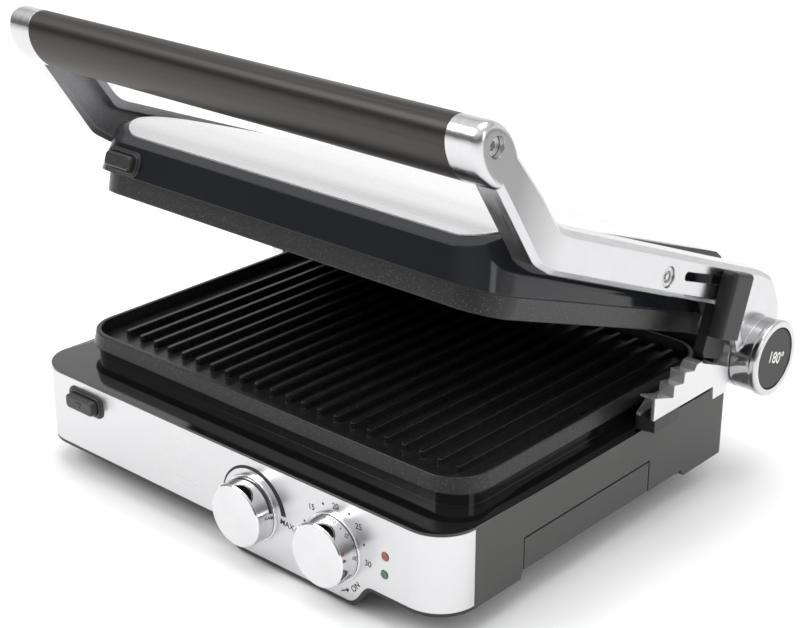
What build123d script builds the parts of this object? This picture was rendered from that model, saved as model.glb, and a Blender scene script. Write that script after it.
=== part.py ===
from build123d import *
from math import cos, exp, radians, sin
import os

os.makedirs("parts", exist_ok=True)

# ---------------------------------------------------------------- driving dimensions (mm)
W, D = 320.0, 254.4             # base width and depth
YF = -139.85                    # front plane of the base
YR = YF + D                     # rear plane of the base
YC = (YF + YR) / 2
R_FRONT, R_REAR = 22.8, 5.0     # plan corners of the base
Z_LOW, Z_WALL = 16.2, 61.95     # underside and top of the housing wall
Z_DECK0, Z_DECK = 62.0, 63.5    # deck sheet
Z_PLINTH = 70.6                 # top of the plinth under the lower plate
T_SHEET = 1.0                   # stainless sheet of the fascia

PLATE_W, PLATE_F, PLATE_R = 295.2, -113.95, 110.0   # lower plate at the rim top
R_PLATE = 21.6
Z_RIM, Z_EDGE, Z_FLOOR, Z_SLAB = 80.1, 71.5, 73.0, 69.8
RIB_PITCH, RIB_N, RIB_W = 12.25, 22, 3.6
Z_RIB = 77.0

KNOB_X = (24.45, 85.1)          # thermostat, timer
KNOB_Z, KNOB_R, KNOB_L = 32.9, 18.6, 10.9
LAMPS = ((120.6, 40.9), (120.1, 30.3))

HY, HZ = 130.15, 76.67          # hinge axis, along X
OPEN = 20.0                     # the arms stand open by this angle
R_PIN, R_KNUCKLE, R_RING = 5.0, 22.0, 22.9
X_HUB0, X_HUB1 = 163.5, 180.6   # hinge barrel of an arm
X_ARM0, X_ARM1 = 156.6, 169.8   # inner and outer face of an arm
PIVOT = (-123.4, 38.3)          # lid pivot in the arms' own frame (dy, dz)
CAP = (-293.4, 82.8)            # centre of the oval handle
TUBE_A, TUBE_B, TUBE_TILT = 19.6, 12.7, -33.0
X_TUBE = 149.6

ARM = Plane(origin=(0, HY, HZ), x_dir=(1, 0, 0), z_dir=(0, sin(radians(OPEN)), cos(radians(OPEN))))


def arm_yz(x):
    """Plane across the arm frame at x: sketch (dy, dz), extrudes towards +X."""
    return Plane(origin=ARM.from_local_coords((x, 0, 0)), x_dir=ARM.y_dir, z_dir=ARM.x_dir)


def arm_xz(y):
    """Upright plane of the arm frame at dy=y: sketch (x, dz), extrudes towards the front."""
    return Plane(origin=ARM.from_local_coords((0, y, 0)), x_dir=ARM.x_dir, z_dir=-ARM.y_dir)


def xz(y):
    """Upright plane at y: sketch (x, z), extrudes towards the front."""
    return Plane(origin=(0, y, 0), x_dir=(1, 0, 0), z_dir=(0, -1, 0))


def plan(w, front, rear, rf, rr):
    """Rectangle in plan with two front and two rear corner radii."""
    with BuildSketch(Plane.XY, mode=Mode.PRIVATE) as s:
        with Locations((0, (front + rear) / 2)):
            Rectangle(w, rear - front)
        fillet(s.vertices().group_by(Axis.Y)[0], rf)
        fillet(s.vertices().group_by(Axis.Y)[-1], rr)
    return s.sketch


def base_plan(inset=0.0):
    """Plan of the base, inset from its outline."""
    return plan(W - 2 * inset, YF + inset, YR - inset, R_FRONT - inset, max(R_REAR - inset, 0.6))


def poly(points):
    """Closed polygon in the sketch plane."""
    with BuildSketch(Plane.XY, mode=Mode.PRIVATE) as s:
        with BuildLine():
            Polyline(*points, close=True)
        make_face()
    return s.sketch


def chin(drop, top, grow=0.0):
    """Outline of the chin under the knobs in (x, z), down to the curved lower edge."""
    z0, z1 = 18.2 - drop, 4.7 - drop
    a = 1.2 * drop / 2.1 + grow
    with BuildSketch(Plane.XY, mode=Mode.PRIVATE) as s:
        with BuildLine():
            Polyline((0.8 - a, z0), (0.8 - a, top), (111.4 + a, top), (111.4 + a, z0))
            Bezier((111.4 + a, z0), (103.6 + a, z0), (103.0 + a, z1), (94.0 + a * 0.7, z1))
            Line((94.0 + a * 0.7, z1), (14.0 - a * 0.7, z1))
            Bezier((14.0 - a * 0.7, z1), (6.8 - a, z1), (7.2 - a, z0), (0.8 - a, z0))
        make_face()
    return s.sketch


parts = {}


def keep(name, part):
    part.label = name
    parts[name] = part


# ---------------------------------------------------------------- base housing
BOSSES = ((-148, -106), (148, -106), (-148, -5), (-148, 100), (148, 100), (0, 103))
with BuildPart() as base_housing:
    with BuildSketch(Plane.XY.offset(Z_LOW)):
        add(base_plan())
    extrude(amount=Z_WALL - Z_LOW)
    with BuildSketch(Plane.XY.offset(Z_LOW)):
        add(base_plan(3.4))
    extrude(amount=Z_WALL - Z_LOW, mode=Mode.SUBTRACT)
    # step behind the stainless fascia and the trim strip
    with BuildSketch(Plane.XY.offset(Z_LOW)):
        add(base_plan(-0.5))
        add(base_plan(1.05), mode=Mode.SUBTRACT)
        with Locations((0, YF + R_FRONT + 200)):
            Rectangle(500, 400, mode=Mode.SUBTRACT)
    extrude(amount=Z_WALL - Z_LOW, mode=Mode.SUBTRACT)
    # chin box under the knobs, hollow and open to the inside
    with BuildSketch(xz(YF + 13.0)):
        add(chin(2.1, 16.1))
    extrude(amount=11.95)
    with BuildSketch(xz(YF + 3.4)):
        add(chin(2.1, 24.0))
    extrude(amount=2.35)
    with BuildSketch(xz(YF + 10.8)):
        with Locations((54.8, 12.6)):
            Rectangle(84.0, 15.6)
    extrude(amount=7.3, mode=Mode.SUBTRACT)
    # the side walls' lower edge is raised between their front and rear ends
    with BuildSketch(Plane.YZ.offset(-170.0)):
        add(poly([(-79.9, Z_LOW - 1.0), (-77.9, 20.5), (69.5, 20.5), (73.0, Z_LOW - 1.0)]))
    extrude(amount=340.0, mode=Mode.SUBTRACT)
    # screw bosses tied to the walls
    with BuildSketch(Plane.XY.offset(18.8)):
        for bx, by in BOSSES:
            with Locations((bx, by)):
                Circle(4.5)
            if bx:
                with Locations((bx + (5.5 if bx > 0 else -5.5), by)):
                    Rectangle(8.0, 2.2)
            else:
                with Locations((0, by + 5.5)):
                    Rectangle(2.2, 7.0)
    extrude(amount=Z_WALL - 18.8 - 0.05)
    with BuildSketch(Plane.XY.offset(18.8)):
        with Locations(*BOSSES):
            Circle(1.55)
    extrude(amount=24.0, mode=Mode.SUBTRACT)
    # openings: control bushes, lamps, release button, drip tray, mains bush
    with BuildSketch(xz(YF + 4.0)):
        for kx in KNOB_X:
            with Locations((kx, KNOB_Z)):
                Circle(6.0)
        with Locations(*LAMPS):
            Circle(2.6)
        with Locations((-113.4, 50.6)):
            Rectangle(27.0, 11.0)
    extrude(amount=6.0, mode=Mode.SUBTRACT)
    with BuildSketch(Plane.YZ.offset(150.0)):
        with Locations((-20.75, 30.3)):
            Rectangle(113.7, 19.8)
    extrude(amount=12.0, mode=Mode.SUBTRACT)
    with BuildSketch(xz(YR + 1.0)):
        with Locations((-62.0, 36.0)):
            Circle(6.2)
    extrude(amount=6.0, mode=Mode.SUBTRACT)
    # vents in the rear wall
    with BuildSketch(xz(YR + 1.0)):
        with GridLocations(7.0, 1.0, 9, 1):
            with Locations((60.0, 38.0)):
                SlotOverall(18.0, 2.6, rotation=90)
    extrude(amount=6.0, mode=Mode.SUBTRACT)
    # room for the two hinge knuckles at the rear corners
    for side in (-1, 1):
        with BuildSketch(Plane.YZ.offset(side * 157.5 - 5.5)):
            with Locations((HY, HZ)):
                Circle(R_KNUCKLE + 0.6)
        extrude(amount=11.0, mode=Mode.SUBTRACT)
keep("base_housing", base_housing.part)

# ---------------------------------------------------------------- bottom cover with legs
FEET = ((-112, -92), (112, -92), (-112, 78), (112, 78))
with BuildPart() as bottom_cover:
    with BuildSketch(Plane.XY.offset(Z_LOW)):
        add(base_plan(3.7))
    extrude(amount=2.5)
    # its edge is set in under the raised part of the side walls
    with BuildSketch(Plane.XY.offset(Z_LOW)):
        with Locations((-162.5, -4.5), (162.5, -4.5)):
            Rectangle(20.0, 150.0)
    extrude(amount=2.5, mode=Mode.SUBTRACT)
    with BuildSketch(Plane.XY.offset(Z_LOW)):
        with Locations(*FEET):
            Circle(15.0)
    extrude(amount=-12.2, taper=12)
    with BuildSketch(Plane.XY.offset(4.0)):
        with Locations(*FEET):
            Circle(9.5)
    extrude(amount=3.0, mode=Mode.SUBTRACT)
    with BuildSketch(Plane.XY.offset(Z_LOW)):
        with Locations(*BOSSES):
            Circle(3.6)
    extrude(amount=1.5, mode=Mode.SUBTRACT)
    with BuildSketch(Plane.XY.offset(Z_LOW)):
        with Locations(*BOSSES):
            Circle(1.7)
        with Locations((-50, 0)):
            with GridLocations(7.0, 60.0, 12, 2):
                SlotOverall(40.0, 3.0, rotation=90)
    extrude(amount=3.0, mode=Mode.SUBTRACT)
    # rails the drip tray slides on
    with BuildSketch(Plane.XY.offset(Z_LOW + 2.5)):
        with Locations((100.0, -62.0), (100.0, 20.0)):
            Rectangle(96.0, 3.0)
    extrude(amount=1.9)
    # posts of the terminal block
    with BuildSketch(Plane.XY.offset(Z_LOW + 2.5)):
        with Locations((-80.0, 66.0), (-44.0, 66.0)):
            Circle(3.0)
    extrude(amount=6.0)
keep("bottom_cover", bottom_cover.part)

with BuildPart() as rubber_feet:
    with BuildSketch(Plane.XY):
        with Locations(*FEET):
            Circle(11.2)
    extrude(amount=3.9)
    with BuildSketch(Plane.XY.offset(3.9)):
        with Locations(*FEET):
            Circle(9.4)
    extrude(amount=3.0)
    chamfer(rubber_feet.edges().group_by(Axis.Z)[0], 0.8)
keep("rubber_feet", rubber_feet.part)

with BuildPart() as cover_screws:
    with BuildSketch(Plane.XY.offset(Z_LOW + 0.05)):
        with Locations(*BOSSES):
            Circle(3.4)
    extrude(amount=1.4)
    with BuildSketch(Plane.XY.offset(Z_LOW + 1.4)):
        with Locations(*BOSSES):
            Circle(1.5)
    extrude(amount=20.0)
    with BuildSketch(Plane.XY.offset(Z_LOW)):
        with Locations(*BOSSES):
            Rectangle(3.6, 0.8)
            Rectangle(0.8, 3.6)
    extrude(amount=0.8, mode=Mode.SUBTRACT)
keep("cover_screws", cover_screws.part)

# ---------------------------------------------------------------- stainless fascia and black trim
with BuildPart() as front_fascia:
    with BuildSketch(Plane.XY.offset(18.2)):
        add(base_plan())
        add(base_plan(T_SHEET), mode=Mode.SUBTRACT)
        with Locations((0, YF + R_FRONT + 200)):
            Rectangle(500, 400, mode=Mode.SUBTRACT)
    extrude(amount=61.9 - 18.2)
    with BuildSketch(xz(YF + T_SHEET)):
        add(chin(0.0, 30.0))
    extrude(amount=T_SHEET)
    with BuildSketch(xz(YF + 3.0)):
        for kx in KNOB_X:
            with Locations((kx, KNOB_Z)):
                Circle(6.0)
        with Locations(*LAMPS):
            Circle(2.55)
        with Locations((-113.4, 50.6)):
            Rectangle(27.0, 11.0)
    extrude(amount=6.0, mode=Mode.SUBTRACT)
keep("front_fascia", front_fascia.part)

with BuildPart() as fascia_trim:
    with BuildSketch(Plane.XY.offset(16.2)):
        add(base_plan(0.15))
        add(base_plan(T_SHEET), mode=Mode.SUBTRACT)
        with Locations((0, YF + R_FRONT + 200)):
            Rectangle(500, 400, mode=Mode.SUBTRACT)
    extrude(amount=1.95)
    with BuildSketch(xz(YF + T_SHEET)):
        add(chin(2.1, 17.0))
        add(chin(0.05, 40.0), mode=Mode.SUBTRACT)
    extrude(amount=T_SHEET - 0.15)
    with BuildSketch(xz(YF + T_SHEET)):
        add(chin(0.05, 40.0))
    extrude(amount=T_SHEET, mode=Mode.SUBTRACT)
keep("fascia_trim", fascia_trim.part)

# ---------------------------------------------------------------- top deck with the plinth
LATCH_X = -113.0
CHUTE = (136.6, 5.0)
PL_C = (PLATE_F + PLATE_R) / 2


def centred(w, d, r):
    """Rounded rectangle about the plate's centre."""
    return plan(w, PL_C - d / 2, PL_C + d / 2, r, r)


with BuildPart() as top_deck:
    with BuildSketch(Plane.XY.offset(Z_DECK0)):
        add(base_plan())
    extrude(amount=Z_DECK - Z_DECK0)
    with BuildSketch(Plane.XY.offset(Z_DECK)):
        add(centred(293.6, 221.0, 19.8))
        add(centred(287.0, 213.0, 16.5), mode=Mode.SUBTRACT)
    extrude(amount=Z_PLINTH - Z_DECK)
    fillet(top_deck.faces().group_by(Axis.Z)[-1].sort_by(SortBy.AREA)[-1].outer_wire().edges(), 0.8)
    with BuildSketch(Plane.XY.offset(Z_DECK)):
        add(centred(288.0, 214.0, 17.0))
        add(centred(279.0, 205.0, 12.5), mode=Mode.SUBTRACT)
    extrude(amount=69.7 - Z_DECK)
    # the side margins fall away to the outer edge
    for side in (-1, 1):
        with BuildSketch(xz(YR + 1.0)):
            add(poly([(side * 150.6, Z_DECK), (side * 160.2, 62.4), (side * 160.2, 64.0), (side * 150.6, 64.0)]))
        extrude(amount=YR + 1.0 - (YF + 70.0), mode=Mode.SUBTRACT)
        with BuildPart(mode=Mode.PRIVATE) as wedge:
            with BuildSketch(xz(YF + 70.0)):
                add(poly([(side * 150.6, Z_DECK), (side * 160.2, 62.4), (side * 160.2, 64.0), (side * 150.6, 64.0)]))
            with BuildSketch(xz(YF + 16.0)):
                add(poly([(side * 160.05, Z_DECK), (side * 160.2, 63.48), (side * 160.2, 64.0), (side * 160.05, 64.0)]))
            loft(ruled=True)
        add(wedge.part, mode=Mode.SUBTRACT)
    with BuildSketch(Plane.XY.offset(Z_DECK0)):
        with Locations((LATCH_X, -97.5)):
            Rectangle(12.0, 8.4)
        with Locations((-24.0, 82.0), (24.0, 82.0)):
            Circle(3.4)
        with Locations(CHUTE):
            Circle(5.3)
    extrude(amount=10.0, mode=Mode.SUBTRACT)
    for side in (-1, 1):
        with BuildSketch(Plane.YZ.offset(side * 157.5 - 5.5)):
            with Locations((HY, HZ)):
                Circle(R_KNUCKLE + 0.6)
        extrude(amount=11.0, mode=Mode.SUBTRACT)
keep("top_deck", top_deck.part)

with BuildPart() as lower_reflector:
    with BuildSketch(Plane.XY.offset(63.6)):
        add(centred(262.0, 182.0, 10.0))
    extrude(amount=0.6)
    with BuildSketch(Plane.XY.offset(63.6)):
        add(centred(262.0, 182.0, 10.0))
        add(centred(260.0, 180.0, 9.0), mode=Mode.SUBTRACT)
    extrude(amount=4.0)
    with BuildSketch(Plane.XY.offset(63.0)):
        with Locations((-24.0, 82.0), (24.0, 82.0)):
            Circle(3.4)
    extrude(amount=6.0, mode=Mode.SUBTRACT)
keep("lower_reflector", lower_reflector.part)

with BuildPart() as lower_heating_element:
    with BuildLine(Plane.XY.offset(67.0)) as lower_loop:
        FilletPolyline((-24, 82), (-118, 82), (-118, -80), (118, -80), (118, 82), (24, 82), radius=22)
    with BuildSketch(Plane(origin=lower_loop.line @ 0, z_dir=lower_loop.line % 0)):
        Circle(2.4)
    sweep()
    with BuildSketch(Plane.XY.offset(52.0)):
        with Locations((-24, 82), (24, 82)):
            Circle(2.4)
    extrude(amount=15.0)
    with Locations((-24, 82, 67), (24, 82, 67)):
        Sphere(2.4)
keep("lower_heating_element", lower_heating_element.part)

# ---------------------------------------------------------------- lower grill plate
with BuildPart() as lower_grill_plate:
    with BuildSketch(Plane.XY.offset(Z_RIM)):
        add(plan(PLATE_W, PLATE_F, PLATE_R, R_PLATE, R_PLATE))
    extrude(amount=-(Z_RIM - Z_EDGE), taper=-12)
    with BuildSketch(Plane.XY.offset(Z_SLAB)):
        add(centred(286.2, 212.2, 16.1))
    extrude(amount=3.0)
    with BuildSketch(Plane.XY.offset(Z_RIM)):
        add(plan(PLATE_W - 5.6, PLATE_F + 2.8, PLATE_R - 2.8, R_PLATE - 2.8, R_PLATE - 2.8))
    extrude(amount=-(Z_RIM - Z_FLOOR), taper=14, mode=Mode.SUBTRACT)
    fillet(lower_grill_plate.faces().group_by(Axis.Z)[-1].edges(), 0.9)
    # ribs with round ends
    with BuildSketch(Plane.XY.offset(Z_FLOOR)):
        with Locations((0, (-94.9 + 101.3) / 2)):
            with GridLocations(RIB_PITCH, 1.0, RIB_N, 1):
                SlotOverall(101.3 + 94.9, RIB_W, rotation=90)
    extrude(amount=Z_RIB - Z_FLOOR, taper=3)
    fillet(lower_grill_plate.faces().filter_by(lambda f: abs(f.center().Z - Z_RIB) < 0.01 and f.area < 900).edges(), 0.6)
    # drain hole
    with BuildSketch(Plane.XY.offset(Z_SLAB)):
        with Locations(CHUTE):
            Circle(3.0)
    extrude(amount=8.0, mode=Mode.SUBTRACT)
keep("lower_grill_plate", lower_grill_plate.part)

# locating feet that drop inside the plinth
with BuildPart() as lower_plate_feet:
    with BuildSketch(Plane.XY.offset(66.4)):
        with Locations((-135.2, 60.0), (-135.2, -60.0), (135.2, -60.0)):
            Rectangle(6.0, 12.0)
    extrude(amount=Z_SLAB - 0.02 - 66.4)
keep("lower_plate_feet", lower_plate_feet.part)

with BuildPart() as lower_plate_lug:
    with BuildSketch(Plane.XY.offset(66.4)):
        with Locations((LATCH_X, -102.6)):
            Rectangle(10.0, 2.6)
    extrude(amount=Z_SLAB - 0.02 - 66.4)
keep("lower_plate_lug", lower_plate_lug.part)

with BuildPart() as rear_plate_clips:
    with BuildSketch(Plane.XY.offset(Z_DECK + 0.02)):
        with Locations((-70.0, 113.5), (70.0, 113.5)):
            Rectangle(24.0, 1.7)
    extrude(amount=9.0)
keep("rear_plate_clips", rear_plate_clips.part)

with BuildPart() as drain_chute:
    with BuildSketch(Plane.XY.offset(41.2)):
        with Locations(CHUTE):
            Circle(4.8)
            Circle(3.4, mode=Mode.SUBTRACT)
    extrude(amount=69.6 - 41.2)
    with BuildSketch(Plane.XY.offset(60.2)):
        with Locations(CHUTE):
            Circle(7.5)
            Circle(4.7, mode=Mode.SUBTRACT)
    extrude(amount=1.7)
keep("drain_chute", drain_chute.part)

# ---------------------------------------------------------------- drip tray
with BuildPart() as drip_tray:
    with BuildSketch(Plane.XY.offset(20.8)):
        with Locations((105.0, -20.75)):
            Rectangle(106.0, 110.0)
    extrude(amount=17.0)
    with BuildSketch(Plane.XY.offset(22.4)):
        with Locations((104.0, -20.75)):
            Rectangle(100.0, 106.0)
    extrude(amount=20.0, mode=Mode.SUBTRACT)
    with BuildSketch(Plane.YZ.offset(157.0)):
        with Locations((-20.75, 30.0)):
            Rectangle(111.9, 18.2)
    extrude(amount=2.9)
    # finger scoop behind the lower edge of the front
    with BuildSketch(Plane.YZ.offset(157.6)):
        with Locations((-20.75, 21.2)):
            SlotOverall(60.0, 4.0)
    extrude(amount=-3.0, mode=Mode.SUBTRACT)
keep("drip_tray", drip_tray.part)

# ---------------------------------------------------------------- controls
for kx, name in zip(KNOB_X, ("thermostat", "timer")):
    with BuildPart() as body:
        with BuildSketch(xz(YF + 32.0)):
            with Locations((kx, KNOB_Z)):
                RectangleRounded(34.0, 27.0, 3.0)
        extrude(amount=27.5)
        with BuildSketch(xz(YF + 4.6)):
            with Locations((kx, KNOB_Z)):
                Circle(5.8)
        extrude(amount=4.6)
        with BuildSketch(xz(YF + 20.0)):
            with Locations((kx, KNOB_Z)):
                Circle(3.05)
        extrude(amount=22.0, mode=Mode.SUBTRACT)
        with BuildSketch(xz(YF + 42.0)):
            with Locations((kx - 9.0, KNOB_Z + 7.0), (kx + 9.0, KNOB_Z + 7.0)):
                Rectangle(6.0, 0.8)
        extrude(amount=10.0)
    keep(name + "_body", body.part)
    with BuildPart() as shaft:
        with BuildSketch(xz(YF + 18.0)):
            with Locations((kx, KNOB_Z)):
                Circle(3.0)
        extrude(amount=18.0 + 10.0)
        with BuildSketch(xz(YF + 1.0)):
            with Locations((kx, KNOB_Z + 3.0)):
                Rectangle(6.0, 2.4)
        extrude(amount=12.0, mode=Mode.SUBTRACT)
    keep(name + "_shaft", shaft.part)
    with BuildPart() as knob:
        # turned body with a bevelled rim, hollow at the back round its hub
        with BuildSketch(Plane(origin=(kx, YF - 2.3, KNOB_Z), x_dir=(1, 0, 0), z_dir=(0, 0, 1))):
            with BuildLine():
                Polyline((3.03, 0), (5.6, 0), (5.6, -8.4), (16.2, -8.4), (16.2, 0), (KNOB_R, 0), (18.05, -KNOB_L + 0.8),
                         (17.2, -KNOB_L), (0, -KNOB_L), (0, -8.0), (3.03, -8.0), close=True)
            make_face()
        revolve(axis=Axis((kx, 0, KNOB_Z), (0, 1, 0)))
        # flat of the bore
        with BuildSketch(xz(YF - 2.3)):
            with Locations((kx, KNOB_Z + 3.0)):
                Rectangle(4.6, 2.0)
        extrude(amount=8.0)
    keep(name + "_knob", knob.part)

with BuildPart() as knob_rings:
    with BuildSketch(xz(YF - 0.02)):
        for kx in KNOB_X:
            with Locations((kx, KNOB_Z)):
                Circle(19.6)
                Circle(16.6, mode=Mode.SUBTRACT)
    extrude(amount=1.98)
    fillet(knob_rings.faces().group_by(Axis.Y)[0].edges().filter_by(GeomType.CIRCLE).sort_by(SortBy.RADIUS)[-2:], 0.6)
keep("knob_rings", knob_rings.part)

for (lx, lz), name in zip(LAMPS, ("power_lamp", "heat_lamp")):
    with BuildPart() as lamp:
        with BuildSketch(xz(YF + 8.0)):
            with Locations((lx, lz)):
                Circle(2.4)
        extrude(amount=8.6)
        fillet(lamp.faces().sort_by(Axis.Y)[0].edges(), 0.55)
    keep(name, lamp.part)

# ---------------------------------------------------------------- lower release button
with BuildPart() as lower_button_bezel:
    with BuildSketch(xz(YF - 0.02)):
        with Locations((-113.6, 50.6)):
            RectangleRounded(30.0, 14.4, 4.8)
        with Locations((-113.4, 50.6)):
            RectangleRounded(24.8, 9.4, 3.2, mode=Mode.SUBTRACT)
    extrude(amount=1.0)
    fillet(lower_button_bezel.faces().sort_by(Axis.Y)[0].outer_wire().edges(), 0.6)
    with BuildSketch(xz(YF - 0.8)):
        with Locations((-113.5, 50.6)):
            RectangleRounded(27.4, 11.8, 4.0)
        with Locations((-113.4, 50.6)):
            RectangleRounded(24.8, 9.4, 3.2, mode=Mode.SUBTRACT)
    extrude(amount=1.2)
    fillet(lower_button_bezel.faces().sort_by(Axis.Y)[0].outer_wire().edges(), 0.5)
    with BuildSketch(xz(YF + 6.0)):
        with Locations((-113.4, 50.6)):
            RectangleRounded(26.6, 10.8, 3.6)
            RectangleRounded(24.8, 9.4, 3.2, mode=Mode.SUBTRACT)
    extrude(amount=6.1)
keep("lower_button_bezel", lower_button_bezel.part)

with BuildPart() as lower_release_button:
    with BuildSketch(xz(YF + 6.0)):
        with Locations((-113.4, 50.6)):
            RectangleRounded(24.0, 8.6, 2.8)
    extrude(amount=12.4)
    fillet(lower_release_button.faces().sort_by(Axis.Y)[0].edges(), 1.2)
keep("lower_release_button", lower_release_button.part)

with BuildPart() as lower_latch:
    with BuildSketch(xz(-97.9)):
        with Locations((LATCH_X, 50.6)):
            Rectangle(10.0, 6.0)
    extrude(amount=(-97.9) - (YF + 6.0))
    with BuildSketch(Plane.XY.offset(47.6)):
        with Locations((LATCH_X, -99.3)):
            Rectangle(10.0, 2.9)
    extrude(amount=69.2 - 47.6)
keep("lower_latch", lower_latch.part)

with BuildPart() as lower_release_spring:
    with BuildSketch(xz(-85.0)):
        with Locations((LATCH_X, 50.6)):
            Circle(3.0)
            Circle(2.2, mode=Mode.SUBTRACT)
    extrude(amount=12.7)
keep("lower_release_spring", lower_release_spring.part)

with BuildPart() as spring_post:
    with BuildSketch(Plane.XY.offset(18.72)):
        with Locations((LATCH_X, -83.4)):
            Rectangle(14.0, 3.0)
    extrude(amount=36.0)
keep("spring_post", spring_post.part)

# ---------------------------------------------------------------- inner electrics
with BuildPart() as mains_inlet:
    with BuildSketch(xz(YR + 5.0)):
        with Locations((-62.0, 36.0)):
            Circle(6.1)
            Circle(3.3, mode=Mode.SUBTRACT)
    extrude(amount=14.0)
    with BuildSketch(xz(YR + 5.0)):
        with Locations((-62.0, 36.0)):
            Circle(8.2)
            Circle(3.3, mode=Mode.SUBTRACT)
    extrude(amount=4.9)
keep("mains_inlet", mains_inlet.part)

with BuildPart() as terminal_block:
    with BuildSketch(Plane.XY.offset(24.75)):
        with Locations((-62.0, 66.0)):
            Rectangle(44.0, 16.0)
    extrude(amount=12.0)
    with BuildSketch(Plane.XY.offset(30.0)):
        with Locations((-62.0, 66.0)):
            with GridLocations(11.0, 8.0, 4, 2):
                Circle(2.0)
    extrude(amount=8.0, mode=Mode.SUBTRACT)
keep("terminal_block", terminal_block.part)

with BuildPart() as thermal_fuse:
    with BuildSketch(Plane.YZ.offset(36.0)):
        with Locations((52.0, 58.9)):
            Circle(3.0)
    extrude(amount=16.0)
    with BuildSketch(Plane.YZ.offset(28.0)):
        with Locations((52.0, 58.9)):
            Circle(0.6)
    extrude(amount=32.0)
keep("thermal_fuse", thermal_fuse.part)

# ---------------------------------------------------------------- hinge shoulders and brackets
def vertex_near(x, y):
    """Vertex of the open sketch nearest to a point of its plane."""
    sketch = BuildSketch._get_context()
    return sorted(sketch.vertices(), key=lambda v: (v.X - x) ** 2 + (v.Y - y) ** 2)[0]


with BuildPart() as hinge_shoulders:
    for side in (-1, 1):
        with BuildSketch(Plane.XY.offset(Z_DECK + 0.05)):
            front = 24.0 if side > 0 else 66.0
            with Locations((side * 155.1, (front + 82.2) / 2)):
                Rectangle(9.8, 82.2 - front)
            if side > 0:
                add(poly([(149.9, 23.5), (157.0, 23.5), (149.9, 44.0)]), mode=Mode.SUBTRACT)
            else:
                fillet(vertex_near(-150.2, front), 9.0)
            if side > 0:
                with Locations((164.5, 36.2)):
                    Rectangle(9.2, 24.3)
        extrude(amount=71.9 - Z_DECK - 0.05)
    # the housing's side wall is 160 wide, so the outer step has its own sloping underside
    with BuildSketch(xz(49.0)):
        add(poly([(160.0, 63.0), (169.3, 63.0), (169.3, 64.6), (160.0, 63.5)]))
    extrude(amount=26.0, mode=Mode.SUBTRACT)
keep("hinge_shoulders", hinge_shoulders.part)

with BuildPart() as rear_hinge_cover:
    with BuildSketch(Plane.YZ.offset(-149.0)):
        with Locations((HY, HZ)):
            Circle(15.5)
        add(poly([(YR + 0.1, 58.0), (YR + 0.1, 83.6), (HY, HZ + 15.5), (HY + 15.5, HZ), (HY + 4.0, 58.0)]))
    extrude(amount=298.0)
    with BuildSketch(Plane.YZ.offset(-147.0)):
        with Locations((HY, HZ)):
            Circle(13.3)
        add(poly([(YR + 2.1, 60.0), (YR + 2.1, 80.6), (HY, HZ + 13.3), (HY + 13.3, HZ), (HY + 3.0, 60.0)]))
    extrude(amount=294.0, mode=Mode.SUBTRACT)
    with BuildSketch(Plane.XY.offset(50.0)):
        with Locations((0, HY)):
            with GridLocations(9.0, 1.0, 25, 1):
                SlotOverall(12.0, 2.6, rotation=90)
    extrude(amount=14.0, mode=Mode.SUBTRACT)
keep("rear_hinge_cover", rear_hinge_cover.part)

STAIRS = [(23.2, 85.5), (41.5, 79.6), (42.0, 86.6), (51.1, 84.8), (52.1, 91.2), (61.3, 88.8), (64.1, 92.2),
          (68.9, 92.2), (68.9, 72.0), (67.6, 72.0), (67.6, 90.9), (64.7, 90.9), (61.8, 87.4), (53.2, 89.6),
          (52.2, 83.2), (43.2, 85.0), (42.6, 77.9), (23.2, 84.2)]
CHEEK = [(23.0, 72.0), (23.2, 85.0), (41.5, 79.2), (42.0, 86.2), (51.1, 84.4), (52.1, 90.8), (61.3, 88.4),
         (64.1, 91.8), (68.9, 91.0), (88.0, 83.2), (97.5, 79.0), (97.5, 63.7), (83.3, 63.8), (82.4, 72.0)]
SLOPE = [(66.0, 72.0), (66.2, 80.0), (71.0, 84.5), (76.0, 85.6), (88.0, 83.2), (97.5, 79.0),
         (97.5, 63.7), (83.3, 63.8), (82.4, 72.0)]
NECK = [(94.5, 63.7), (94.5, 80.3), (96.0, 79.6), (104.0, 73.2), (112.0, 73.2), (121.0, 68.0), (118.0, 63.7)]


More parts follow.
